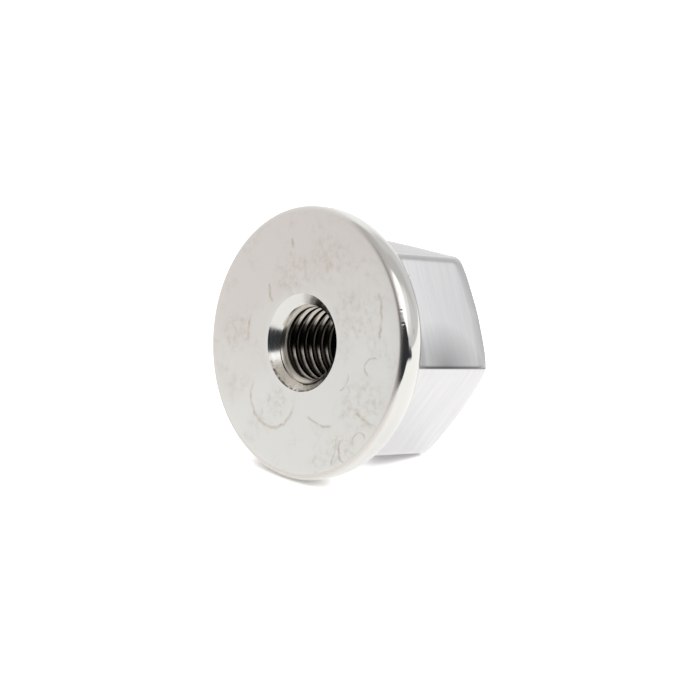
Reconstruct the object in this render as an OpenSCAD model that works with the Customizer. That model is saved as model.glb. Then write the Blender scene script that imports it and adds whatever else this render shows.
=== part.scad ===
// Flanged lug nut, turned and milled from one bar. It lies on its side, on the
// flange's rim and the end of one hexagon flat, with the flange's face towards -Y.

/* [Flange] */
// Outer diameter of the flange
flange_d = 46; // [44:1:60]
// Thickness of the flange, from the seat face to the top of its domed back
flange_t = 8; // [6:0.1:10]
// Radius that breaks the edge between the seat face and the rim
front_edge_r = 1; // [0.3:0.1:1.5]
// Radius that rounds the rim into the back of the flange, limited by the flange's thickness
back_edge_r = 6; // [2:0.1:8]
// Slope of the flange's back, rising towards the hexagon
back_slope = 8; // [0:1:15]

/* [Hexagon] */
// Width across the flats
hex_af = 35; // [28:0.5:38]
// Length from the seat face to the end of the hexagon
nut_len = 26; // [20:0.5:40]
// Radius of the six softened corners
hex_corner_r = 1; // [0.3:0.1:2]
// Diameter of the flat circle left on the end by the chamfer
end_circle_d = 34.8; // [26:0.2:35]
// Angle of the end chamfer, measured from the end face
end_chamfer = 20; // [15:1:35]

/* [Thread] */
// Bore at the crests of the M14 x 2 thread
thread_bore_d = 12.2; // [10:0.1:14]
// Mouth diameter of the countersink in the seat face
seat_mouth_d = 16.5; // [14.6:0.1:20]
// Mouth diameter of the countersink in the hexagon's end
end_mouth_d = 15.6; // [14.6:0.1:20]
// Included angle of both countersinks
countersink = 90; // [60:5:120]

/* [Finish] */
// Colour of the polished metal
metal_colour = "gainsboro"; // [gainsboro, silver, lightgray]

/* [Hidden] */
$fn = 128;
rim_band = 0.2; // straight band that the two roundings of the rim leave at least
overrun = 1; // how far the cutters run past the faces
corner_blend = 6; // the corner rounding meets each flat at this angle, nearly tangent

flange_r = flange_d / 2;
hex_apothem = hex_af / 2;
hex_corner = hex_apothem / cos(30);
end_circle_r = min(end_circle_d, hex_af) / 2;
// The back's rounding, which leaves a narrow band of the rim straight
back_r = min(back_edge_r, flange_t - front_edge_r - rim_band);
// The end of a flat, halfway between its corners
flat_end_z = nut_len - (hex_apothem - end_circle_r) * tan(end_chamfer);

// Centre of the back's rounding in the half section, and where the back would meet the axis
rim_r = flange_r - back_r;
rim_z = flange_t - back_r;
hub_z = rim_z + back_r * cos(back_slope) + (rim_r + back_r * sin(back_slope)) * tan(back_slope);

// Lying tilt. The floor touches the back rounding of the rim and the end of a flat. reach and
// bearing are the polar form of the line from the rounding's centre to the flat's end.
reach = norm([flat_end_z - rim_z, rim_r - hex_apothem]);
bearing = atan2(rim_r - hex_apothem, flat_end_z - rim_z);
tilt = bearing + asin(back_r / reach);
// Height of the axis over the floor, at the seat face
axis_h = rim_r * cos(tilt) + rim_z * sin(tilt) + back_r;
// How far the nut reaches along Y, before and behind the point where the axis meets the seat face
front_y = (flange_r - front_edge_r) * sin(tilt) - front_edge_r * cos(tilt) + front_edge_r;
back_y = max(nut_len * cos(tilt) + end_circle_r * sin(tilt),
             flat_end_z * cos(tilt) + hex_apothem * sin(tilt));

// Half section of the flange, for turning about the axis
module flange_section() {
    polygon([[0, 0], [flange_r - front_edge_r, 0], [flange_r - front_edge_r, front_edge_r],
             [flange_r, front_edge_r], [flange_r, rim_z], [rim_r, rim_z],
             [rim_r + back_r * sin(back_slope), rim_z + back_r * cos(back_slope)],
             [0, hub_z]]);
    translate([flange_r - front_edge_r, front_edge_r]) intersection() {
        circle(r = front_edge_r);
        translate([0, -front_edge_r]) square(front_edge_r);
    }
    translate([rim_r, rim_z]) intersection() {
        circle(r = back_r);
        square(back_r);
    }
}

module flange() {
    rotate_extrude() flange_section();
}

// What the rounding takes off the corner on +X
module corner_cutter() {
    arc_x = hex_corner - hex_corner_r * cos(corner_blend) / cos(30);
    wedge = 2 * hex_corner_r + overrun;
    translate([arc_x, 0]) difference() {
        polygon([[0, 0], [wedge, wedge * tan(30)], [wedge, -wedge * tan(30)]]);
        circle(r = hex_corner_r);
    }
}

// Hexagon with rounded corners. The flat on +Y faces the floor once the nut lies down.
module hex_outline() {
    difference() {
        circle(r = hex_corner, $fn = 6);
        for (corner = [0:5]) rotate(60 * corner) corner_cutter();
    }
}

// Turned body that the hexagon is milled on: its end carries the chamfer
module chamfer_envelope() {
    blank_r = hex_corner + overrun;
    drop = (blank_r - end_circle_r) * tan(end_chamfer);
    cylinder(r = blank_r, h = nut_len - drop);
    translate([0, 0, nut_len - drop]) cylinder(r1 = blank_r, r2 = end_circle_r, h = drop);
}

module hexagon() {
    intersection() {
        linear_extrude(nut_len) hex_outline();
        chamfer_envelope();
    }
}

// Bore with a countersink at each end
module threaded_bore() {
    seat_depth = (seat_mouth_d - thread_bore_d) / 2 / tan(countersink / 2);
    end_depth = (end_mouth_d - thread_bore_d) / 2 / tan(countersink / 2);
    translate([0, 0, -overrun]) cylinder(d = thread_bore_d, h = nut_len + 2 * overrun);
    countersink_cutter(seat_mouth_d, seat_depth);
    translate([0, 0, nut_len]) mirror([0, 0, 1]) countersink_cutter(end_mouth_d, end_depth);
}

// Cone of the given mouth and depth, run past the face by the overrun
module countersink_cutter(mouth_d, depth) {
    spread = overrun * tan(countersink / 2);
    translate([0, 0, -overrun])
        cylinder(r1 = mouth_d / 2 + spread, r2 = mouth_d / 2 - depth * tan(countersink / 2),
                 h = depth + overrun);
}

// The nut about its own axis, with the seat face at z = 0
module nut_on_axis() {
    difference() {
        union() {
            flange();
            hexagon();
        }
        threaded_bore();
    }
}

// Lays the nut on its side: its axis runs along +Y and dips by the tilt
module lay_down() {
    translate([0, (front_y - back_y) / 2, axis_h]) rotate([-90 - tilt, 0, 0]) children();
}

module lug_nut() {
    color(metal_colour) lay_down() nut_on_axis();
}

lug_nut();
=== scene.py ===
import bmesh
import bpy
import math
from mathutils import Matrix, Vector


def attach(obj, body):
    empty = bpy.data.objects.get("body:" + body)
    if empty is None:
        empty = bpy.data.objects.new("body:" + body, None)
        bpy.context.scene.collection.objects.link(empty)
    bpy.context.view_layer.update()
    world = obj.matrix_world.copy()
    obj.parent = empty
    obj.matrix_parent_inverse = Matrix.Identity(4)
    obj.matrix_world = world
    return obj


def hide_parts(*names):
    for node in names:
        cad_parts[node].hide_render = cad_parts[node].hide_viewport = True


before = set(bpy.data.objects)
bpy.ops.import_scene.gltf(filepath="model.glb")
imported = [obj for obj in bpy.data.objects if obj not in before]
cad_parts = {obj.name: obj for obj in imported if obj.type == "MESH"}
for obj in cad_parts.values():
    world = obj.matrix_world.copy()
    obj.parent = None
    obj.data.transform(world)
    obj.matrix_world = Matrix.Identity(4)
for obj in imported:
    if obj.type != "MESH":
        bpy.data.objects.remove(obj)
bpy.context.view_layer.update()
scene = bpy.context.scene
scene.view_settings.view_transform = "Standard"
mm = 0.001
print("frame loaded")


def hexColour(text):
    # sRGB hex to the linear colour that Blender's sockets hold
    channels = [int(text[i:i + 2], 16) / 255 for i in (1, 3, 5)]
    return tuple(c / 12.92 if c <= 0.04045 else ((c + 0.055) / 1.055) ** 2.4 for c in channels) + (1.0,)


def addNode(tree, kind, sockets=None, **settings):
    # Adds one node: settings are its own fields, sockets its inputs by name or number.
    # An input is linked where it is given a node or a socket, and set where it is given a value.
    node = tree.nodes.new(kind)
    for name, value in settings.items():
        setattr(node, name, value)
    for name, value in (sockets or {}).items():
        if isinstance(value, bpy.types.Node):
            value = next(output for output in value.outputs if output.enabled)
        if isinstance(value, bpy.types.NodeSocket):
            tree.links.new(value, node.inputs[name])
        else:
            node.inputs[name].default_value = value
    return node


# Millimetres from the nut's own axis and along it from the seat face.
# Angles turn from +X towards the underside.
nut = {
    "flangeRadius": 23.0,
    "frontEdge": 1.0,           # rounding between the seat face and the rim
    "flangeThickness": 8.0,
    "backEdge": 6.0,            # rounding of the rim into the back
    "backSlope": 8.0,           # degrees
    "acrossFlats": 35.0,
    "length": 26.0,
    "cornerRadius": 0.5,
    "shoulderDrop": 0.24,       # how far polishing has rolled the flats down beside each corner
    "shoulderReach": 1.35,
    "endCircle": 34.8,          # flat circle that the chamfer leaves on the end
    "endChamfer": 20.0,         # degrees from the end face
    "seatMouth": 16.5,          # mouths of the two 90 degree countersinks
    "endMouth": 15.6,
    "bore": 12.2,               # across the crests of the thread
    "crispEdge": 0.12,          # how far polishing has broken the sharp edges
    "cornerWear": 0.3,          # how much more the hexagon's corners have lost at the end, for each mm that
    "cornerWearFrom": 1.5,      # the chamfer is wider than this
    "footFillet": 0.35,         # left by the cutter where the hexagon meets the flange
    "columnsPerSide": 32,       # how finely the mesh follows each side
    # knocks on the rim: degrees, height over the seat face, half length round the rim, half width, and depth,
    # which is negative where metal is raised
    "dings": [(-41.6, 5.3, 0.4, 0.5, -0.36), (-40.6, 4.6, 0.4, 0.45, 0.12), (-32.4, 0.35, 0.26, 0.24, 0.05),
              (-25.3, 0.28, 0.22, 0.24, 0.04), (-19.9, 0.3, 0.24, 0.2, 0.03)],
}

# M14 x 2, right-hand
thread = {
    "pitch": 2.0,
    "rootRadius": 7.0,
    "lip": 0.07,                # softening of each crest's two edges
    "firstCrest": 1.58,         # where the first crest starts on the +X side
}

apothem = nut["acrossFlats"] / 2
# half angles that a corner's rounding and its shoulders take up
cornerTouch = nut["cornerRadius"] / 2 * math.cos(math.pi / 6) / apothem
shoulderTouch = nut["shoulderReach"] * math.cos(math.pi / 6) ** 2 / apothem
domeRadius = nut["backEdge"]
domeCentre = nut["flangeRadius"] - domeRadius, nut["flangeThickness"] - domeRadius   # radius, height
slope = math.radians(nut["backSlope"])
coneStart = domeCentre[0] + domeRadius * math.sin(slope)
endCircleRadius = nut["endCircle"] / 2
chamferFall = math.tan(math.radians(nut["endChamfer"]))

# The nut lies on its rim and on the end of one flat: tilt is how far its axis dips towards the hexagon's end
flatEnd = nut["length"] - (apothem - endCircleRadius) * chamferFall
run, drop = flatEnd - domeCentre[1], domeCentre[0] - apothem
tilt = math.atan2(drop, run) + math.asin(domeRadius / math.hypot(run, drop))
axisHeight = domeCentre[0] * math.cos(tilt) + domeCentre[1] * math.sin(tilt) + domeRadius
frontEdge = nut["frontEdge"]
frontY = (nut["flangeRadius"] - frontEdge) * math.sin(tilt) - frontEdge * math.cos(tilt) + frontEdge
backY = max(nut["length"] * math.cos(tilt) + endCircleRadius * math.sin(tilt),
            flatEnd * math.cos(tilt) + apothem * math.sin(tilt))
layDown = Matrix(((1, 0, 0, 0),
                  (0, -math.sin(tilt), math.cos(tilt), (frontY - backY) / 2 * mm),
                  (0, -math.cos(tilt), -math.sin(tilt), axisHeight * mm),
                  (0, 0, 0, 1)))


def rolledFlat(fromCorner):
    # From the axis to a flat whose edges polishing has rolled down, at an angle past a corner
    toEdge = apothem * (math.tan(math.pi / 6) - math.tan(math.pi / 6 - fromCorner))
    roll = nut["shoulderDrop"] * max(0.0, 1 - toEdge / nut["shoulderReach"]) ** 2
    return (apothem - roll) / math.cos(math.pi / 6 - fromCorner)


def sideRadius(angle):
    # From the axis to the side of the hexagon, with a small rounding where two flats meet
    fromCorner = abs((angle + math.pi / 6) % (math.pi / 3) - math.pi / 6)
    if fromCorner >= cornerTouch:
        return rolledFlat(fromCorner)
    fall = (rolledFlat(cornerTouch + 0.0001) - rolledFlat(cornerTouch)) / 0.0001
    return rolledFlat(cornerTouch) + fall * (fromCorner ** 2 - cornerTouch ** 2) / (2 * cornerTouch)


def backHeight(radius):
    # Height of the flange's back: a shallow cone, then the domed rim
    if radius > coneStart:
        return domeCentre[1] + math.sqrt(max(0.0, domeRadius ** 2 - (radius - domeCentre[0]) ** 2))
    return domeCentre[1] + domeRadius * math.cos(slope) + (coneStart - radius) * math.tan(slope)


def knocked(angle, radius, height):
    # A point of the rim, pushed in or raised where something has knocked it
    across, along = radius - domeCentre[0], max(0.0, height - domeCentre[1])
    size = math.hypot(across, along)
    push = 0.0
    for degrees, middle, halfLength, halfWidth, depth in nut["dings"]:
        turn = (angle - math.radians(degrees) + math.pi) % (2 * math.pi) - math.pi
        reach = math.hypot(turn * radius / halfLength, (height - middle) / halfWidth)
        if reach < 1:
            push -= depth * (1 - reach ** 2) ** 2
        elif reach < 1.7:
            push += abs(depth) * 0.15 * math.sin(math.pi * (reach - 1) / 0.7)
    return radius + push * across / size, height + push * along / size


def threadProfile():
    # One pitch as (distance past the start of a crest, radius): a 60 degree V
    pitch, crest, root, lip = thread["pitch"], nut["bore"] / 2, thread["rootRadius"], thread["lip"]
    depth = root - crest
    flank = depth * math.tan(math.radians(30))
    flat = pitch - 2 * flank - pitch / 8
    middle = flat + flank + pitch / 16
    return [(lip, crest), (flat / 2, crest), (flat - lip, crest), (flat, crest + lip * 0.3),
            (flat + lip, crest + lip * 1.3), (flat + flank * 0.55, crest + depth * 0.55),
            (flat + flank * 0.92, crest + depth * 0.9), (middle, root),
            (pitch - flank * 0.92, crest + depth * 0.9), (pitch - flank * 0.55, crest + depth * 0.55),
            (pitch - lip, crest + lip * 1.3), (pitch, crest + lip * 0.3)]


profile = threadProfile()


def holeColumn(angle):
    # The hole's wall from the seat mouth to the end mouth: the thread, or a countersink where it cuts deeper
    column = []
    for turn in range(-2, int(nut["length"] / thread["pitch"]) + 2):
        for along, radius in profile:
            height = thread["firstCrest"] + thread["pitch"] * (turn + angle / (2 * math.pi)) + along
            height = min(max(height, 0.0), nut["length"])
            seatCone = nut["seatMouth"] / 2 - height
            endCone = nut["endMouth"] / 2 - (nut["length"] - height)
            cone = max(seatCone, endCone)
            column.append((max(radius, cone), height, "countersink" if cone > radius - 0.001 else "thread"))
    return column


def outsideColumn(angle):
    # From the end mouth over the hexagon and flange to the seat mouth.
    # Each point names the finish that leads to it.
    side, crisp, length = sideRadius(angle), nut["crispEdge"], nut["length"]
    endMouth, seatMouth = nut["endMouth"] / 2, nut["seatMouth"] / 2
    column = [(endMouth + crisp * 0.3, length, "end")]
    for k in range(7):
        column.append((endMouth + crisp + (endCircleRadius - 2 * crisp - endMouth) * k / 6, length, "end"))
    # the chamfer's cone ends each flat in a curved line
    fall = side - endCircleRadius
    room = min(crisp + nut["cornerWear"] * max(0.0, fall - nut["cornerWearFrom"]), fall * 0.4)
    for k in range(4):
        out = room * 0.2 + (fall - room * 1.2) * k / 3
        column.append((endCircleRadius + out, length - out * chamferFall, "chamfer"))
    top = length - fall * chamferFall - max(room, 0.06)
    column.append((side - room * 0.35, length - fall * chamferFall - room * 0.12, "flats"))
    fillet = nut["footFillet"]
    foot = backHeight(side + fillet) + fillet
    for k in range(9):
        column.append((side, top + (foot - top) * k / 8, "flats"))
    for degrees in (30, 60, 85):
        a = math.radians(degrees)
        column.append((side + fillet * (1 - math.cos(a)), foot - fillet * math.sin(a), "back"))
    start = side + fillet
    end = max(start, coneStart)
    for k in range(1, 5):
        radius = start + (end - start) * k / 4
        column.append((radius, backHeight(radius), "back"))
    steepest = math.acos((end - domeCentre[0]) / domeRadius)
    for k in range(1, 25):
        a = steepest * (1 - k / 24)
        radius = domeCentre[0] + domeRadius * math.cos(a)
        column.append((*knocked(angle, radius, domeCentre[1] + domeRadius * math.sin(a)), "rim"))
    for k in (1, 2, 3):
        height = domeCentre[1] + (frontEdge - domeCentre[1]) * k / 3
        column.append((*knocked(angle, nut["flangeRadius"], height), "rim"))
    for k in range(1, 11):
        a = math.pi / 2 * k / 10
        radius = nut["flangeRadius"] - frontEdge + frontEdge * math.cos(a)
        column.append((*knocked(angle, radius, frontEdge - frontEdge * math.sin(a)), "rim"))
    width = nut["flangeRadius"] - frontEdge - seatMouth - crisp
    for k in range(1, 9):
        column.append((nut["flangeRadius"] - frontEdge - width * k / 8, 0.0, "face"))
    column.append((seatMouth + crisp * 0.3, 0.0, "face"))
    return column


def columnAngles():
    # Columns stand closer together round the hexagon's corners and at the knocks on the rim
    sides = nut["columnsPerSide"] // 2
    halfSide = [cornerTouch * k / 4 for k in range(5)]
    halfSide += [cornerTouch + (shoulderTouch - cornerTouch) * k / 7 for k in range(1, 8)]
    halfSide += [shoulderTouch + (math.pi / 6 - shoulderTouch) * k / sides for k in range(1, sides + 1)]
    angles = [sector * math.pi / 3 + side * step for sector in range(6) for step in halfSide for side in (1, -1)]
    for degrees, _, halfLength, _, _ in nut["dings"]:
        middle, reach = math.radians(degrees), halfLength * 1.7 / nut["flangeRadius"]
        angles += [middle + reach * k / 5 for k in range(-5, 6)]
    angles = sorted(a % (2 * math.pi) for a in angles)
    return [a for i, a in enumerate(angles) if i == 0 or a - angles[i - 1] > 0.0015]


def buildNut():
    # A closed grid of columns round the axis. Where it closes, the thread has climbed by one turn.
    angles = columnAngles()
    places, holes, outsides = [], [], []
    for angle in angles:
        for column, rows in ((holeColumn(angle), holes), (outsideColumn(angle), outsides)):
            row, last = [], None
            for radius, height, finish in column:
                if last is None or math.dist(last, (radius, height)) > 1e-6:
                    places.append((radius * math.cos(angle), radius * math.sin(angle), height))
                row.append((len(places) - 1, finish))
                last = radius, height
            rows.append(row)
    faces, finishes = [], []

    def addFace(finish, *corners):
        kept = [c for i, c in enumerate(corners) if c not in corners[:i]]
        if len(kept) > 2:
            faces.append(kept)
            finishes.append(finish)

    for c, (hole, outside) in enumerate(zip(holes, outsides)):
        n = (c + 1) % len(angles)
        nextHole = holes[n]
        if n == 0:
            nextHole = nextHole[len(profile):] + [nextHole[-1]] * len(profile)
        for m in range(len(hole) - 1):
            kinds = {hole[m][1], hole[m + 1][1], nextHole[m][1], nextHole[m + 1][1]}
            addFace("thread" if "thread" in kinds else "countersink",
                    hole[m][0], nextHole[m][0], nextHole[m + 1][0], hole[m + 1][0])
        for m in range(len(outside) - 1):
            addFace(outside[m + 1][1], outside[m][0], outsides[n][m][0], outsides[n][m + 1][0], outside[m + 1][0])
        addFace("end", hole[-1][0], holes[n][-1][0], outsides[n][0][0], outside[0][0])
        addFace("face", outside[-1][0], outsides[n][-1][0], holes[n][0][0], hole[0][0])
    return places, faces, finishes


places, faces, faceFinishes = buildNut()
finishNames = ["face", "rim", "flats", "chamfer", "end", "back", "countersink", "thread"]
mesh = bpy.data.meshes.new("lugNut")
mesh.from_pydata([layDown @ (Vector(place) * mm) for place in places], [], faces)
mesh.polygons.foreach_set("material_index", [finishNames.index(name) for name in faceFinishes])
mesh.polygons.foreach_set("use_smooth", [True] * len(faces))
nutPiece = bpy.data.objects.new("lugNut", mesh)
scene.collection.objects.link(nutPiece)
skin = bmesh.new()
skin.from_mesh(mesh)
bmesh.ops.recalc_face_normals(skin, faces=skin.faces)
openEdges = sum(not edge.is_manifold for edge in skin.edges)
triangles = sum(len(face.verts) - 2 for face in skin.faces)
skin.to_mesh(mesh)
skin.free()
mesh.set_sharp_from_angle(angle=math.radians(38))
# finishes follow the nut's own axis: each point keeps its place on the nut, in millimetres,
# and the UV map's U runs along the axis, across the brushing
mesh.attributes.new("placeOnNut", "FLOAT_VECTOR", "POINT").data.foreach_set(
    "vector", [value for place in places for value in place])
grain = mesh.uv_layers.new(name="alongAxis")
for loop, spot in zip(mesh.loops, grain.data):
    x, y, z = places[loop.vertex_index]
    spot.uv = z / nut["length"], math.atan2(y, x) / (2 * math.pi) + 0.5
print("nut built:", triangles, "triangles,", openEdges, "open edges")


def placesOnNut(tree):
    # Millimetres on the nut: the place, its part across the axis, and the distance from the axis
    place = addNode(tree, "ShaderNodeAttribute", attribute_name="placeOnNut").outputs["Vector"]
    flat = addNode(tree, "ShaderNodeVectorMath", {0: place, 1: (1, 1, 0)}, operation="MULTIPLY")
    outward = addNode(tree, "ShaderNodeVectorMath", {0: flat}, operation="LENGTH")
    return place, flat, outward


def startMetal(name):
    material = bpy.data.materials.new(name)
    material.use_nodes = True
    material.node_tree.nodes.clear()
    return material, material.node_tree


def finishMetal(material, colour, roughness, bump, **extra):
    # Metal keeps the default IOR; the steel's own colour carries its reflectance
    tree = material.node_tree
    sockets = {"Base Color": colour, "Roughness": roughness, "Metallic": 1.0, "Normal": bump}
    sockets.update(extra)
    shader = addNode(tree, "ShaderNodeBsdfPrincipled", sockets)
    addNode(tree, "ShaderNodeOutputMaterial", {"Surface": shader})
    return material


# Stainless steel, faced on a lathe and then tumbled: a satin face that mirrors the tent softly.
# Washing water has dried on it in thin tan lines and cloudy patches.
satinFace = {
    "steel": "#D5D5D2",
    "warmCloud": "#D0CBC7",
    "speck": "#B9AFA2",
    "dryingLine": "#AE9C86",
    "polishedLip": "#D6D5D2",
    "roughness": 0.30,
    "cloudSize": 14.0,          # mm
    "speckSize": 1.3,           # mm
    "grainSize": 0.12,          # mm, coarser than real so that it shows
    "wander": 1.1,              # mm that lines and splashes stray from their true circles
    "wandersPerMm": 0.55,
    # lines: centre x and y, radius, direction of the middle in degrees, half spread in degrees, half width
    "lines": [(3.0, -4.5, 14.3, -14.0, 17.0, 0.26), (16.9, 0.6, 1.7, 200.0, 95.0, 0.16),
              (-4.75, 10.2, 5.4, 100.0, 104.0, 0.24), (7.5, -7.8, 20.0, 91.0, 9.5, 0.18),
              (-3.2, 15.2, 14.8, 2.0, 11.0, 0.18), (-4.0, -1.2, 9.4, 172.0, 15.0, 0.26),
              (0.0, -11.0, 10.3, 155.0, 10.0, 0.22), (-12.2, -14.2, 6.6, -16.0, 9.0, 0.2),
              (19.0, -1.0, 10.4, 102.0, 12.0, 0.24), (9.5, 3.6, 2.4, 20.0, 50.0, 0.14),
              (14.5, 15.0, 2.2, 150.0, 80.0, 0.14), (16.6, 13.0, 1.6, 240.0, 90.0, 0.12)],
    # splashes full of fine tide marks: centre x and y, radius
    "splashes": [(-4.0, -10.5, 5.5), (10.5, -7.0, 5.5), (16.0, 7.0, 5.5), (13.0, 15.5, 4.0), (-3.8, 11.2, 3.2),
                 (-16.0, 1.5, 4.0), (3.0, -15.0, 5.0)],
    "tideMarkGap": 2.2,         # mm
    "tideStrength": 0.3,
    "lineStrength": 0.5,
    "speckStrength": 0.5,
    "warmSide": (-0.022, -0.03, 0),     # how fast the clouds warm towards the upper left, per mm
    "lipReach": (0.4, 1.3),     # mm past the mouth, over which its polish fades
    "lipStrength": 0.55,
    "stainRoughness": 0.14,     # how much rougher lines and specks are
}


def drawDryingLines(tree, wander, flat):
    # 1 along the middle of each thin line, less where the line has faded in patches
    lines = None
    for x, y, radius, middle, spread, width in satinFace["lines"]:
        ray = addNode(tree, "ShaderNodeVectorMath", {0: wander, 1: (x, y, 0)}, operation="SUBTRACT")
        gap = addNode(tree, "ShaderNodeMath", {
            0: addNode(tree, "ShaderNodeVectorMath", {0: ray}, operation="LENGTH"), 1: radius},
            operation="SUBTRACT")
        line = addNode(tree, "ShaderNodeMapRange", {
            0: addNode(tree, "ShaderNodeMath", {0: gap}, operation="ABSOLUTE"),
            1: width * 0.3, 2: width * 1.7, 3: 1.0, 4: 0.0}, interpolation_type="SMOOTHSTEP")
        towards = addNode(tree, "ShaderNodeVectorMath", {
            0: addNode(tree, "ShaderNodeVectorMath", {0: ray}, operation="NORMALIZE"),
            1: (math.cos(math.radians(middle)), math.sin(math.radians(middle)), 0)}, operation="DOT_PRODUCT")
        stretch = addNode(tree, "ShaderNodeMapRange", {
            0: towards, 1: math.cos(math.radians(spread)), 2: math.cos(math.radians(spread * 0.7)),
            3: 0.0, 4: 1.0}, interpolation_type="SMOOTHSTEP")
        line = addNode(tree, "ShaderNodeMath", {0: line, 1: stretch}, operation="MULTIPLY")
        lines = line if lines is None else addNode(tree, "ShaderNodeMath", {0: lines, 1: line},
                                                   operation="MAXIMUM")
    patchy = addNode(tree, "ShaderNodeMapRange", {
        0: addNode(tree, "ShaderNodeTexNoise", {"Vector": flat, "Scale": 0.9, "Detail": 4.0}),
        1: 0.36, 2: 0.6, 3: 0.35, 4: 1.0})
    return addNode(tree, "ShaderNodeMath", {0: lines, 1: patchy}, operation="MULTIPLY")


def drawSplashes(tree, wander, flat):
    # 1 inside each splash, and the tide marks in it, which follow the contours of a noise
    splash = None
    for x, y, radius in satinFace["splashes"]:
        ray = addNode(tree, "ShaderNodeVectorMath", {0: wander, 1: (x, y, 0)}, operation="SUBTRACT")
        disc = addNode(tree, "ShaderNodeMapRange", {
            0: addNode(tree, "ShaderNodeVectorMath", {0: ray}, operation="LENGTH"),
            1: radius * 0.55, 2: radius * 1.1, 3: 1.0, 4: 0.0}, interpolation_type="SMOOTHSTEP")
        splash = disc if splash is None else addNode(tree, "ShaderNodeMath", {0: splash, 1: disc},
                                                     operation="MAXIMUM")
    tide = addNode(tree, "ShaderNodeTexNoise", {
        "Vector": flat, "Scale": 1 / satinFace["tideMarkGap"], "Detail": 3.0, "Distortion": 0.6})
    tide = addNode(tree, "ShaderNodeMath", {0: tide, 1: 5.0}, operation="MULTIPLY")
    tide = addNode(tree, "ShaderNodeMath", {0: tide, 1: 1.0}, operation="PINGPONG")
    tide = addNode(tree, "ShaderNodeMapRange", {0: tide, 1: 0.0, 2: 0.3, 3: 1.0, 4: 0.0},
                   interpolation_type="SMOOTHSTEP")
    return splash, addNode(tree, "ShaderNodeMath", {0: tide, 1: splash}, operation="MULTIPLY")


def makeSatinFace():
    material, tree = startMetal("satinStainlessFace")
    _, flat, outward = placesOnNut(tree)
    drift = addNode(tree, "ShaderNodeTexNoise", {
        "Vector": flat, "Scale": satinFace["wandersPerMm"], "Detail": 3.0})
    drift = addNode(tree, "ShaderNodeVectorMath", {0: drift.outputs["Color"], 1: (0.5, 0.5, 0.5)},
                    operation="SUBTRACT")
    wander = addNode(tree, "ShaderNodeVectorMath", {
        0: drift, 1: (satinFace["wander"], satinFace["wander"], 0), 2: flat}, operation="MULTIPLY_ADD")
    lines = drawDryingLines(tree, wander, flat)
    splash, tide = drawSplashes(tree, wander, flat)
    tide = addNode(tree, "ShaderNodeMath", {0: tide, 1: satinFace["tideStrength"]}, operation="MULTIPLY")
    lines = addNode(tree, "ShaderNodeMath", {0: lines, 1: tide}, operation="MAXIMUM")
    # clouds: warmer to the upper left, cooler to the lower right, broken up by noise
    lean = addNode(tree, "ShaderNodeVectorMath", {0: flat, 1: satinFace["warmSide"]}, operation="DOT_PRODUCT")
    cloud = addNode(tree, "ShaderNodeTexNoise", {
        "Vector": flat, "Scale": 1 / satinFace["cloudSize"] * 2, "Detail": 5.0, "Roughness": 0.62})
    cloud = addNode(tree, "ShaderNodeMapRange", {
        0: addNode(tree, "ShaderNodeMath", {0: cloud, 1: lean}, operation="ADD"), 1: 0.3, 2: 0.9})
    colour = addNode(tree, "ShaderNodeMix", {
        0: cloud, 6: hexColour(satinFace["steel"]), 7: hexColour(satinFace["warmCloud"])}, data_type="RGBA")
    specks = addNode(tree, "ShaderNodeTexNoise", {
        "Vector": wander, "Scale": 1 / satinFace["speckSize"], "Detail": 6.0, "Roughness": 0.7})
    specks = addNode(tree, "ShaderNodeMapRange", {
        0: specks, 1: 0.46, 2: 0.7, 3: 0.0, 4: satinFace["speckStrength"]})
    where = addNode(tree, "ShaderNodeTexNoise", {"Vector": flat, "Scale": 0.17, "Detail": 2.0})
    where = addNode(tree, "ShaderNodeMapRange", {0: where, 1: 0.5, 2: 0.65})
    where = addNode(tree, "ShaderNodeMath", {0: where, 1: splash}, operation="MAXIMUM")
    specks = addNode(tree, "ShaderNodeMath", {0: specks, 1: where}, operation="MULTIPLY")
    colour = addNode(tree, "ShaderNodeMix", {0: specks, 6: colour, 7: hexColour(satinFace["speck"])},
                     data_type="RGBA")
    colour = addNode(tree, "ShaderNodeMix", {
        0: addNode(tree, "ShaderNodeMath", {0: lines, 1: satinFace["lineStrength"]}, operation="MULTIPLY"),
        6: colour, 7: hexColour(satinFace["dryingLine"])}, data_type="RGBA")
    start, end = (nut["seatMouth"] / 2 + reach for reach in satinFace["lipReach"])
    lip = addNode(tree, "ShaderNodeMapRange", {
        0: outward, 1: start, 2: end, 3: satinFace["lipStrength"], 4: 0.0}, interpolation_type="SMOOTHSTEP")
    colour = addNode(tree, "ShaderNodeMix", {0: lip, 6: colour, 7: hexColour(satinFace["polishedLip"])},
                     data_type="RGBA")
    dull = addNode(tree, "ShaderNodeMath", {0: specks, 1: lines}, operation="MAXIMUM")
    roughness = addNode(tree, "ShaderNodeMapRange", {
        0: dull, 3: satinFace["roughness"], 4: satinFace["roughness"] + satinFace["stainRoughness"]})
    grain = addNode(tree, "ShaderNodeTexNoise", {
        "Vector": flat, "Scale": 1 / satinFace["grainSize"], "Detail": 2.0})
    bump = addNode(tree, "ShaderNodeBump", {"Strength": 0.06, "Distance": 0.02 * mm, "Height": grain})
    return finishMetal(material, colour, roughness, bump)


# Stainless steel, buffed on a wheel: a mirror, a little wavy, so that the room's edges waver in it
mirrorRim = {
    "steel": "#DCDBD8",
    "roughness": 0.05,
    "faceRoughness": 0.3,       # where it runs into the satin face
    "wave": 3.5,                # mm from one swell to the next
    "waveDepth": 0.002,         # mm
    "smearSize": 2.5,           # mm
    "backRoughness": 0.09,
}


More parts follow.
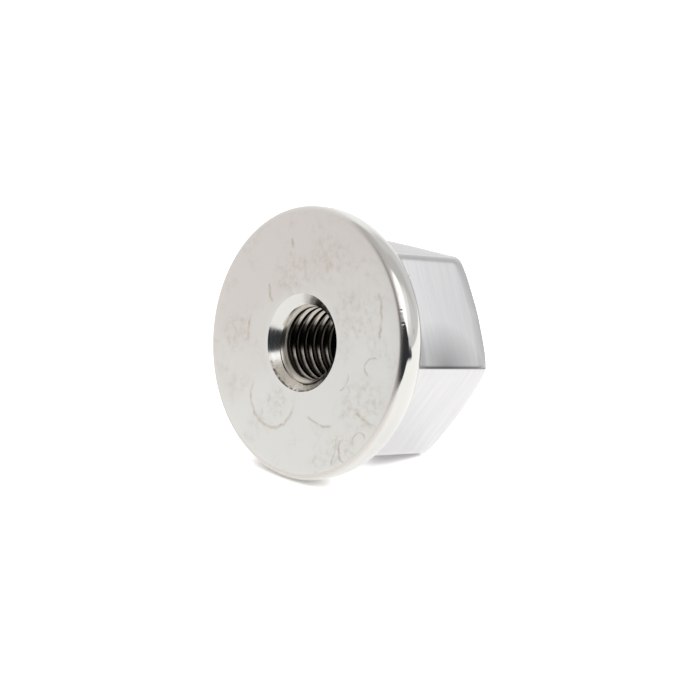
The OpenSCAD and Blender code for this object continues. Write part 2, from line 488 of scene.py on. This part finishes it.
def makeMirror(name, roughness):
    material, tree = startMetal(name)
    place, _, _ = placesOnNut(tree)
    swell = addNode(tree, "ShaderNodeTexNoise", {
        "Vector": place, "Scale": 1 / mirrorRim["wave"], "Detail": 1.0})
    smear = addNode(tree, "ShaderNodeTexNoise", {
        "Vector": place, "Scale": 1 / mirrorRim["smearSize"], "Detail": 5.0, "Roughness": 0.6})
    rough = addNode(tree, "ShaderNodeMapRange", {
        0: smear, 1: 0.35, 2: 0.7, 3: roughness * 0.7, 4: roughness * 1.8})
    # the front edge runs from the satin face into the mirror
    height = addNode(tree, "ShaderNodeSeparateXYZ", {0: place}).outputs["Z"]
    start, end = 0.02, nut["frontEdge"] * 0.7
    rough = addNode(tree, "ShaderNodeMapRange", {
        0: height, 1: start, 2: end, 3: mirrorRim["faceRoughness"], 4: rough}, interpolation_type="SMOOTHSTEP")
    shift = addNode(tree, "ShaderNodeMapRange", {0: height, 1: start, 2: end}, interpolation_type="SMOOTHSTEP")
    colour = addNode(tree, "ShaderNodeMix", {
        0: shift, 6: hexColour(satinFace["warmCloud"]), 7: hexColour(mirrorRim["steel"])}, data_type="RGBA")
    bump = addNode(tree, "ShaderNodeBump", {
        "Strength": 1.0, "Distance": mirrorRim["waveDepth"] * mm, "Height": swell})
    return finishMetal(material, colour, rough, bump)


# Stainless steel, brushed across the flats on a belt: the grooves run round the nut,
# so highlights spread along its axis and fine streaks cross each flat
brushedFlats = {
    "steel": "#DEDEDE",
    "streak": "#D6D6D9",
    "broadShade": "#8E8E8F",          # painted shade, above the corner on the +X side
    "broadShadePlace": (20.4, -0.3, 14.5),
    "broadShadeStretch": (0.9, 0.9, 0.75),
    "broadShadeReach": 7.6,           # mm
    "broadShadeStrength": 0.9,
    "edgeShade": "#363638",     # painted shade: a dark line where that flat rolls over into the corner, a painted reflection of the dark room, which the rolled corner also mirrors
    "shadeWidth": 0.75,         # mm
    "shadeStrength": 0.75,
    "shadedTop": "#C0C0C2",       # painted shade: the uppermost flat is coloured darker
    "roughness": 0.11,
    "anisotropy": 0.8,
    "streakSpacing": 0.16,      # mm, coarser than real so that it shows
    "streakLength": 9.0,        # mm
    "streakDepth": 0.0014,      # mm
    "broadStretch": (0.06, 0.06, 1.1),      # broad streaks per mm across the axis and along it
}


def makeBrushedFlats():
    material, tree = startMetal("brushedStainlessFlats")
    place, _, _ = placesOnNut(tree)
    parts = addNode(tree, "ShaderNodeSeparateXYZ", {0: place})
    along, across = 1 / brushedFlats["streakLength"], 1 / brushedFlats["streakSpacing"]
    streaks = addNode(tree, "ShaderNodeVectorMath", {0: place, 1: (along, along, across)}, operation="MULTIPLY")
    streaks = addNode(tree, "ShaderNodeTexNoise", {"Vector": streaks, "Scale": 1.0, "Detail": 3.0})
    broad = addNode(tree, "ShaderNodeVectorMath", {0: place, 1: brushedFlats["broadStretch"]},
                    operation="MULTIPLY")
    broad = addNode(tree, "ShaderNodeTexNoise", {"Vector": broad, "Scale": 1.0, "Detail": 2.0})
    both = addNode(tree, "ShaderNodeMath", {0: streaks, 1: broad}, operation="ADD")
    tone = addNode(tree, "ShaderNodeMapRange", {0: both, 1: 0.75, 2: 1.3})
    colour = addNode(tree, "ShaderNodeMix", {
        0: tone, 6: hexColour(brushedFlats["steel"]), 7: hexColour(brushedFlats["streak"])}, data_type="RGBA")
    # painted shade: where its tone differs from the plain brushing
    # painted shade: a broad dark patch on the flat above the +X corner
    ray = addNode(tree, "ShaderNodeVectorMath", {0: place, 1: brushedFlats["broadShadePlace"]}, operation="SUBTRACT")
    ray = addNode(tree, "ShaderNodeVectorMath", {0: ray, 1: brushedFlats["broadShadeStretch"]}, operation="MULTIPLY")
    broadShade = addNode(tree, "ShaderNodeMapRange", {
        0: addNode(tree, "ShaderNodeVectorMath", {0: ray}, operation="LENGTH"),
        1: 0.0, 2: brushedFlats["broadShadeReach"], 3: brushedFlats["broadShadeStrength"], 4: 0.0})
    aboveCorner = addNode(tree, "ShaderNodeMapRange", {0: parts.outputs["Y"], 1: -0.2, 2: 0.0, 3: 1.0, 4: 0.0})
    # painted shade: the dark line beside the +X corner
    besideCorner = addNode(tree, "ShaderNodeMapRange", {
        0: parts.outputs["Y"], 1: -brushedFlats["shadeWidth"], 2: -0.15, 3: 0.0,
        4: brushedFlats["shadeStrength"]}, interpolation_type="SMOOTHSTEP")
    onRight = addNode(tree, "ShaderNodeMapRange", {0: parts.outputs["X"], 1: 0.0, 2: 1.0})
    # painted shade on the uppermost flat
    uppermost = addNode(tree, "ShaderNodeMapRange", {
        0: parts.outputs["Y"], 1: 0.1 - apothem, 2: 0.35 - apothem, 3: 1.0, 4: 0.0})
    for name, masks in (("broadShade", [broadShade, aboveCorner]),
                        ("edgeShade", [besideCorner, aboveCorner, onRight]),
                        ("shadedTop", [uppermost])):
        mask = masks[0]
        for other in masks[1:]:
            mask = addNode(tree, "ShaderNodeMath", {0: mask, 1: other}, operation="MULTIPLY")
        colour = addNode(tree, "ShaderNodeMix", {0: mask, 6: colour, 7: hexColour(brushedFlats[name])},
                         data_type="RGBA")
    rough = addNode(tree, "ShaderNodeMapRange", {
        0: streaks, 1: 0.3, 2: 0.7, 3: brushedFlats["roughness"] * 0.85, 4: brushedFlats["roughness"] * 1.2})
    bump = addNode(tree, "ShaderNodeBump", {
        "Strength": 0.5, "Distance": brushedFlats["streakDepth"] * mm, "Height": streaks})
    tangent = addNode(tree, "ShaderNodeTangent", direction_type="UV_MAP", uv_map="alongAxis")
    return finishMetal(material, colour, rough, bump, Anisotropic=brushedFlats["anisotropy"], Tangent=tangent)


# Stainless steel, turned: fine rings round the axis stretch each highlight outwards from it
turnedSteel = {
    "steel": "#D5D4D1",
    "film": "#D3C9BB",          # dried oil
    "speck": "#5A5048",         # grime
    "ringSpacing": 0.22,        # mm, the feed of the cutter, coarser than real so that it shows
    "ringDepth": 0.004,         # mm
    "chamferRoughness": 0.16,
    "endRoughness": 0.2,
    "countersinkRoughness": 0.16,
    "grime": 0.9,               # in the countersinks
    "grimeDepth": (3.2, 6.0),   # mm below the axis, from none to full
    "mouthDirt": (0.4, 0.15),   # mm inside the seat mouth, from none to full
    "specksPerMm": 2.6,
}


def makeTurned(name, roughness, slant, grime=0.0):
    # slant: how far the rings step along the axis for each step outwards. Grime gathers in the lower half.
    material, tree = startMetal(name)
    place, flat, outward = placesOnNut(tree)
    parts = addNode(tree, "ShaderNodeSeparateXYZ", {0: place})
    step = addNode(tree, "ShaderNodeMath", {0: parts.outputs["Z"], 1: slant, 2: outward},
                   operation="MULTIPLY_ADD")
    turned = addNode(tree, "ShaderNodeVectorMath", {
        0: addNode(tree, "ShaderNodeVectorMath", {0: flat}, operation="NORMALIZE"), 1: (1.5, 1.5, 0)},
        operation="MULTIPLY")
    turned = addNode(tree, "ShaderNodeVectorMath", {
        0: addNode(tree, "ShaderNodeCombineXYZ", {
            "Z": addNode(tree, "ShaderNodeMath", {0: step, 1: 1 / turnedSteel["ringSpacing"]},
                         operation="MULTIPLY")}),
        1: turned}, operation="ADD")
    rings = addNode(tree, "ShaderNodeTexNoise", {"Vector": turned, "Scale": 1.0, "Detail": 2.0})
    rough = addNode(tree, "ShaderNodeMapRange", {
        0: rings, 1: 0.3, 2: 0.7, 3: roughness * 0.8, 4: roughness * 1.3})
    bump = addNode(tree, "ShaderNodeBump", {
        "Strength": 1.0, "Distance": turnedSteel["ringDepth"] * mm, "Height": rings})
    if not grime:
        return finishMetal(material, hexColour(turnedSteel["steel"]), rough, bump)
    low = addNode(tree, "ShaderNodeMapRange", {
        0: parts.outputs["Y"], 1: turnedSteel["grimeDepth"][0], 2: turnedSteel["grimeDepth"][1],
        3: 0.0, 4: grime}, interpolation_type="SMOOTHSTEP")
    film = addNode(tree, "ShaderNodeTexNoise", {
        "Vector": place, "Scale": 0.9, "Detail": 5.0, "Roughness": 0.65})
    film = addNode(tree, "ShaderNodeMath", {
        0: addNode(tree, "ShaderNodeMapRange", {0: film, 1: 0.3, 2: 0.6}), 1: low}, operation="MULTIPLY")
    colour = addNode(tree, "ShaderNodeMix", {
        0: film, 6: hexColour(turnedSteel["steel"]), 7: hexColour(turnedSteel["film"])}, data_type="RGBA")
    speck = addNode(tree, "ShaderNodeTexNoise", {
        "Vector": place, "Scale": turnedSteel["specksPerMm"], "Detail": 3.0, "Roughness": 0.7})
    speck = addNode(tree, "ShaderNodeMath", {
        0: addNode(tree, "ShaderNodeMapRange", {0: speck, 1: 0.6, 2: 0.68}), 1: low}, operation="MULTIPLY")
    # dirt sits against the sharp mouth
    start, end = (nut["seatMouth"] / 2 - inside for inside in turnedSteel["mouthDirt"])
    mouth = addNode(tree, "ShaderNodeMapRange", {0: outward, 1: start, 2: end})
    broken = addNode(tree, "ShaderNodeMapRange", {
        0: addNode(tree, "ShaderNodeTexNoise", {"Vector": place, "Scale": 1.1, "Detail": 4.0}), 1: 0.4, 2: 0.52})
    mouth = addNode(tree, "ShaderNodeMath", {0: mouth, 1: broken}, operation="MULTIPLY")
    mouth = addNode(tree, "ShaderNodeMath", {0: mouth, 1: low}, operation="MULTIPLY")
    speck = addNode(tree, "ShaderNodeMath", {0: speck, 1: mouth}, operation="MAXIMUM")
    colour = addNode(tree, "ShaderNodeMix", {0: speck, 6: colour, 7: hexColour(turnedSteel["speck"])},
                     data_type="RGBA")
    rough = addNode(tree, "ShaderNodeMath", {0: film, 1: 0.3, 2: rough}, operation="MULTIPLY_ADD")
    return finishMetal(material, colour, rough, bump)


# Stainless steel, cut by a tap: bright flanks, painted shade in the grooves and on the crests, torn and dull lips
# on the first turn, and a black depth, which is painted shade too
tappedThread = {
    "steel": "#BDB7AE",
    # painted shade for the thread's grooves and crests
    "oil": "#38342F",
    "deep": "#0F0E0E",
    "roughness": 0.2,
    "lipRoughness": 0.5,
    "firstTurn": 3.0,           # mm behind the seat face
    "lowerShade": 0.36,           # mm that the painted shade's level rises in the lower half
    "shadePatchEdges": [("Y", -3.2, -1.8), ("X", -2.0, -4.0), ("Z", 2.2, 3.1)],     # mm, from unshaded to painted shade
    "unshadedSeat": (1.9, 2.8),    # mm behind the seat face, from unshaded to painted shade
    "unshadedEnd": (7.0, 3.5),     # mm before the hexagon's end, from painted shade to unshaded
    "blackFrom": 12.8,          # mm, where the hole is painted black as shade
    "blackTo": 14.0,
}


def makeThread():
    material, tree = startMetal("tappedStainlessThread")
    place, _, outward = placesOnNut(tree)
    parts = addNode(tree, "ShaderNodeSeparateXYZ", {0: place})
    height = parts.outputs["Z"]
    crest, root = nut["bore"] / 2, thread["rootRadius"]
    # painted shade lies in the grooves, and reaches further out of them in the lower half of the hole
    smear = addNode(tree, "ShaderNodeTexNoise", {"Vector": place, "Scale": 0.8, "Detail": 5.0, "Roughness": 0.6})
    level = addNode(tree, "ShaderNodeMath", {0: smear, 1: 0.5, 2: outward}, operation="MULTIPLY_ADD")
    level = addNode(tree, "ShaderNodeMath", {
        0: addNode(tree, "ShaderNodeMapRange", {0: parts.outputs["Y"], 1: 0.0, 2: 4.0}),
        1: tappedThread["lowerShade"], 2: level}, operation="MULTIPLY_ADD")
    oily = addNode(tree, "ShaderNodeMapRange", {0: level, 1: crest + 0.6, 2: root + 0.2},
                   interpolation_type="SMOOTHSTEP")
    # the painted shade also darkens the crests, and a patch of it (film) lies along the -X side
    crests = addNode(tree, "ShaderNodeMapRange", {0: outward, 1: crest + 0.02, 2: crest + 0.06, 3: 1.0, 4: 0.0})
    film = addNode(tree, "ShaderNodeMapRange", {0: parts.outputs["Y"], 1: 1.2, 2: 3.6, 3: 1.0, 4: 0.0},
                   interpolation_type="SMOOTHSTEP")
    for axis, start, end in tappedThread["shadePatchEdges"]:
        reach = addNode(tree, "ShaderNodeMapRange", {0: parts.outputs[axis], 1: start, 2: end})
        film = addNode(tree, "ShaderNodeMath", {0: film, 1: reach}, operation="MULTIPLY")
    for more in (crests, film):
        oily = addNode(tree, "ShaderNodeMath", {0: oily, 1: more}, operation="MAXIMUM")
    # both mouths stay free of the painted shade
    start, end = tappedThread["unshadedSeat"]
    pastSeat = addNode(tree, "ShaderNodeMapRange", {0: height, 1: start, 2: end})
    start, end = (nut["length"] - before for before in tappedThread["unshadedEnd"])
    beforeEnd = addNode(tree, "ShaderNodeMapRange", {0: height, 1: start, 2: end, 3: 1.0, 4: 0.0})
    for unshaded in (pastSeat, beforeEnd):
        oily = addNode(tree, "ShaderNodeMath", {0: oily, 1: unshaded}, operation="MULTIPLY")
    # painted shade mixed into the thread's colour
    colour = addNode(tree, "ShaderNodeMix", {
        0: oily, 6: hexColour(tappedThread["steel"]), 7: hexColour(tappedThread["oil"])}, data_type="RGBA")
    # painted shade: the hole turns black deeper in, so little light comes back out of its depth
    black = addNode(tree, "ShaderNodeMapRange", {
        0: height, 1: tappedThread["blackFrom"], 2: tappedThread["blackTo"]}, interpolation_type="SMOOTHSTEP")
    black = addNode(tree, "ShaderNodeMath", {0: black, 1: beforeEnd}, operation="MULTIPLY")
    colour = addNode(tree, "ShaderNodeMix", {0: black, 6: colour, 7: hexColour(tappedThread["deep"])},
                     data_type="RGBA")
    torn = addNode(tree, "ShaderNodeMapRange", {
        0: height, 1: tappedThread["firstTurn"] - 0.4, 2: tappedThread["firstTurn"] + 0.4, 3: 1.0, 4: 0.0})
    lips = addNode(tree, "ShaderNodeMapRange", {0: outward, 1: crest + 0.2, 2: crest + 0.35, 3: 1.0, 4: 0.0})
    torn = addNode(tree, "ShaderNodeMath", {0: lips, 1: torn}, operation="MULTIPLY")
    rough = addNode(tree, "ShaderNodeMapRange", {
        0: torn, 3: tappedThread["roughness"], 4: tappedThread["lipRoughness"]})
    bump = addNode(tree, "ShaderNodeBump", {"Strength": 0.3, "Distance": 0.02 * mm, "Height": smear})
    return finishMetal(material, colour, rough, bump)


materials = {
    "face": makeSatinFace(),
    "rim": makeMirror("mirrorStainlessRim", mirrorRim["roughness"]),
    "flats": makeBrushedFlats(),
    "chamfer": makeTurned("turnedStainlessChamfer", turnedSteel["chamferRoughness"], 0.0),
    "end": makeTurned("turnedStainlessEnd", turnedSteel["endRoughness"], 0.0),
    "back": makeMirror("buffedStainlessBack", mirrorRim["backRoughness"]),
    "countersink": makeTurned("turnedStainlessCountersink", turnedSteel["countersinkRoughness"], -1.0,
                              grime=turnedSteel["grime"]),
    "thread": makeThread(),
}
for name in finishNames:
    mesh.materials.append(materials[name])
print("finishes made:", len(materials))


def direction(azimuth, elevation=0.0):
    # Unit vector: azimuth 0 is straight in front of the seat face, 90 is +X
    a, e = math.radians(azimuth), math.radians(elevation)
    return Vector((math.sin(a) * math.cos(e), -math.cos(a) * math.cos(e), math.sin(e)))


def tippedEdge(azimuth, elevation):
    # Normal of a plane through the nut that rises to this elevation at this azimuth, pointing up
    return (Vector((0, 0, 1)) - direction(azimuth) * math.tan(math.radians(elevation))).normalized()


# A white light tent, open on the right where the dark room shows, with a softbox over the opening.
# Strengths are what a perfect mirror would show: 1 is white.
studio = {
    "leftWall": (1.05, "#FFFFFF"),
    "backWall": (0.75, "#FFFFFF"),
    "frontWall": (0.72, "#FFFDFB"),
    "ceiling": (0.64, "#FFFDFB"),
    "doorPost": (0.38, "#FFF8F0"),
    "softbox": (1.5, "#FFFFFF"),
    "room": (0.045, "#EAF3FF"),
    "stand": (0.5, "#FFFFFF"),
    "paper": "#EFEEEC",
    "paperGlow": 0.9,           # added where the camera sees open paper, which takes it to pure white
    "contactShadow": 4.4,       # mm round the nut in which that glow fades
    "contactLean": (0.42, 0.18, 0.89),      # up, but leaned over so that the shadow falls towards -X
    "paperShine": (0.57, 0.5),  # added where the metal mirrors the paper, under the nut and away from it
    "shineReach": (25, 60),     # mm from the nut's middle, where the one shine becomes the other
    "paperRight": (98, 128),    # mm, where the paper gives way to the dark room
    "paperBack": (200, 290),    # mm, where it gives way to the back wall
    "roomEdge": 137.9,          # azimuth of the dark room's back edge
    "roomEdgePast": (12, 20),   # mm that the edge on the floor lies off the nut's middle
}


def glowColour(name):
    level, tint = studio[name]
    return tuple(level * channel for channel in hexColour(tint)[:3]) + (1.0,)


world = bpy.data.worlds.new("lightTent")
scene.world = world
world.use_nodes = True
sky = world.node_tree
sky.nodes.clear()
gaze = addNode(sky, "ShaderNodeTexCoord").outputs["Generated"]
# each patch of the tent, then the planes that bound it, as the normal into the patch and its softness
patches = [
    ("backWall", [(direction(138 + 90), 0.03), (direction(203 - 90), 0.12)]),
    ("frontWall", [(direction(-36 + 90), 0.15), (direction(60 - 90), 0.1)]),
    ("ceiling", [(tippedEdge(80, 67), 0.06), (tippedEdge(-100, 67), 0.06)]),
    ("doorPost", [(direction(-15 + 90), 0.05), (direction(3 - 90), 0.05), (-tippedEdge(-5, 56), 0.06)]),
    ("softbox", [(tippedEdge(53, 36), 0.035), (-tippedEdge(85, 64), 0.05), (direction(27 + 90), 0.1),
                 (tippedEdge(225.5, 51), 0.09), (direction(166 - 90), 0.12)]),
    ("room", [(-tippedEdge(53, 35), 0.045), (direction(-8 + 90), 0.12),
              (direction(studio["roomEdge"] - 90), 0.012)]),
    ("stand", [(direction(149.5 + 90), 0.012), (direction(153.5 - 90), 0.012), (-tippedEdge(151, 2), 0.012)]),
]
glow = glowColour("leftWall")
for name, planes in patches:
    mask = None
    for normal, soft in planes:
        reach = addNode(sky, "ShaderNodeVectorMath", {0: gaze, 1: tuple(normal)}, operation="DOT_PRODUCT")
        inside = addNode(sky, "ShaderNodeMapRange", {0: reach, 1: -soft, 2: soft},
                         interpolation_type="SMOOTHSTEP")
        mask = inside if mask is None else addNode(sky, "ShaderNodeMath", {0: mask, 1: inside},
                                                   operation="MULTIPLY")
    glow = addNode(sky, "ShaderNodeMix", {0: mask, 6: glow, 7: glowColour(name)}, data_type="RGBA")
tent = addNode(sky, "ShaderNodeBackground", {"Color": glow, "Strength": 1.0})
backdrop = addNode(sky, "ShaderNodeBackground", {"Color": (1, 1, 1, 1), "Strength": 1.0})
seen = addNode(sky, "ShaderNodeLightPath")
shown = addNode(sky, "ShaderNodeMixShader", {0: seen.outputs["Is Camera Ray"], 1: tent, 2: backdrop})
addNode(sky, "ShaderNodeOutputWorld", {"Surface": shown})

# White paper on the table. Its glow fades where the nut stands close over it, which leaves the contact shadow.
floorMesh = bpy.data.meshes.new("floor")
floorMesh.from_pydata([(-2, -2, 0), (2, -2, 0), (2, 2, 0), (-2, 2, 0)], [], [(0, 1, 2, 3)])
floor = bpy.data.objects.new("floor", floorMesh)
scene.collection.objects.link(floor)
paper = bpy.data.materials.new("whitePaper")
paper.use_nodes = True
sheet = paper.node_tree
sheet.nodes.clear()
path = addNode(sheet, "ShaderNodeLightPath")
byCamera, byMetal = path.outputs["Is Camera Ray"], path.outputs["Is Glossy Ray"]
lean = addNode(sheet, "ShaderNodeCombineXYZ", dict(enumerate(studio["contactLean"])))
openness = addNode(sheet, "ShaderNodeAmbientOcclusion", {
    "Distance": studio["contactShadow"] * mm, "Normal": lean}, samples=8)
openness = addNode(sheet, "ShaderNodeMapRange", {0: openness.outputs["AO"], 1: 0.2, 2: 0.6, 3: 0.0, 4: 1.0})
glowing = addNode(sheet, "ShaderNodeMath", {0: openness, 1: studio["paperGlow"]}, operation="MULTIPLY")
glowing = addNode(sheet, "ShaderNodeMath", {0: byCamera, 1: glowing}, operation="MULTIPLY")
spot = addNode(sheet, "ShaderNodeTexCoord").outputs["Object"]
away = addNode(sheet, "ShaderNodeVectorMath", {0: spot}, operation="LENGTH")
near, far = (reach * mm for reach in studio["shineReach"])
shine = addNode(sheet, "ShaderNodeMapRange", {
    0: away, 1: near, 2: far, 3: studio["paperShine"][0], 4: studio["paperShine"][1]})
glowing = addNode(sheet, "ShaderNodeMath", {0: byMetal, 1: shine, 2: glowing}, operation="MULTIPLY_ADD")
glow = addNode(sheet, "ShaderNodeEmission", {"Color": (1, 1, 1, 1), "Strength": glowing})
matt = addNode(sheet, "ShaderNodeBsdfDiffuse", {"Color": hexColour(studio["paper"])})
surface = addNode(sheet, "ShaderNodeAddShader", {0: matt, 1: glow})
# what the metal mirrors past the paper's edges, and the planes that bound it: normal, from, to
for name, planes in (("backWall", [(direction(180), *studio["paperBack"])]),
                     ("room", [(direction(90), *studio["paperRight"]),
                               (direction(studio["roomEdge"] - 90), *studio["roomEdgePast"])])):
    mask = byMetal
    for normal, start, end in planes:
        reach = addNode(sheet, "ShaderNodeVectorMath", {0: spot, 1: tuple(normal / mm)}, operation="DOT_PRODUCT")
        inside = addNode(sheet, "ShaderNodeMapRange", {0: reach, 1: start, 2: end},
                         interpolation_type="SMOOTHSTEP")
        mask = addNode(sheet, "ShaderNodeMath", {0: mask, 1: inside}, operation="MULTIPLY")
    past = addNode(sheet, "ShaderNodeEmission", {"Color": glowColour(name), "Strength": 1.0})
    surface = addNode(sheet, "ShaderNodeMixShader", {0: mask, 1: surface, 2: past})
addNode(sheet, "ShaderNodeOutputMaterial", {"Surface": surface})
floorMesh.materials.append(paper)
print("studio set")

# The camera aims just beside a point on the nut's axis
view = {
    "azimuth": 45.355,
    "elevation": 17.766,
    "distance": 288.21,         # mm
    "lens": 85.86,
    "aimPoint": 12.0,           # mm behind the seat face
    "right": 0.187,             # mm that the point lies right of the frame's middle
    "down": -1.103,             # mm that it lies below it
}
forward = -direction(view["azimuth"], view["elevation"])
rightward = direction(view["azimuth"] + 90)
downward = forward.cross(rightward)
target = layDown @ Vector((0, 0, view["aimPoint"] * mm))
camera = bpy.data.objects.new("camera", bpy.data.cameras.new("camera"))
scene.collection.objects.link(camera)
camera.data.lens = view["lens"]
camera.data.clip_start = 0.01
camera.location = target - (rightward * view["right"] + downward * view["down"] + forward * view["distance"]) * mm
camera.rotation_mode = "QUATERNION"
camera.rotation_quaternion = forward.to_track_quat("-Z", "Y")
scene.camera = camera

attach(nutPiece, "root")
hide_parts("lug_nut")
print("nut fitted to the frame")
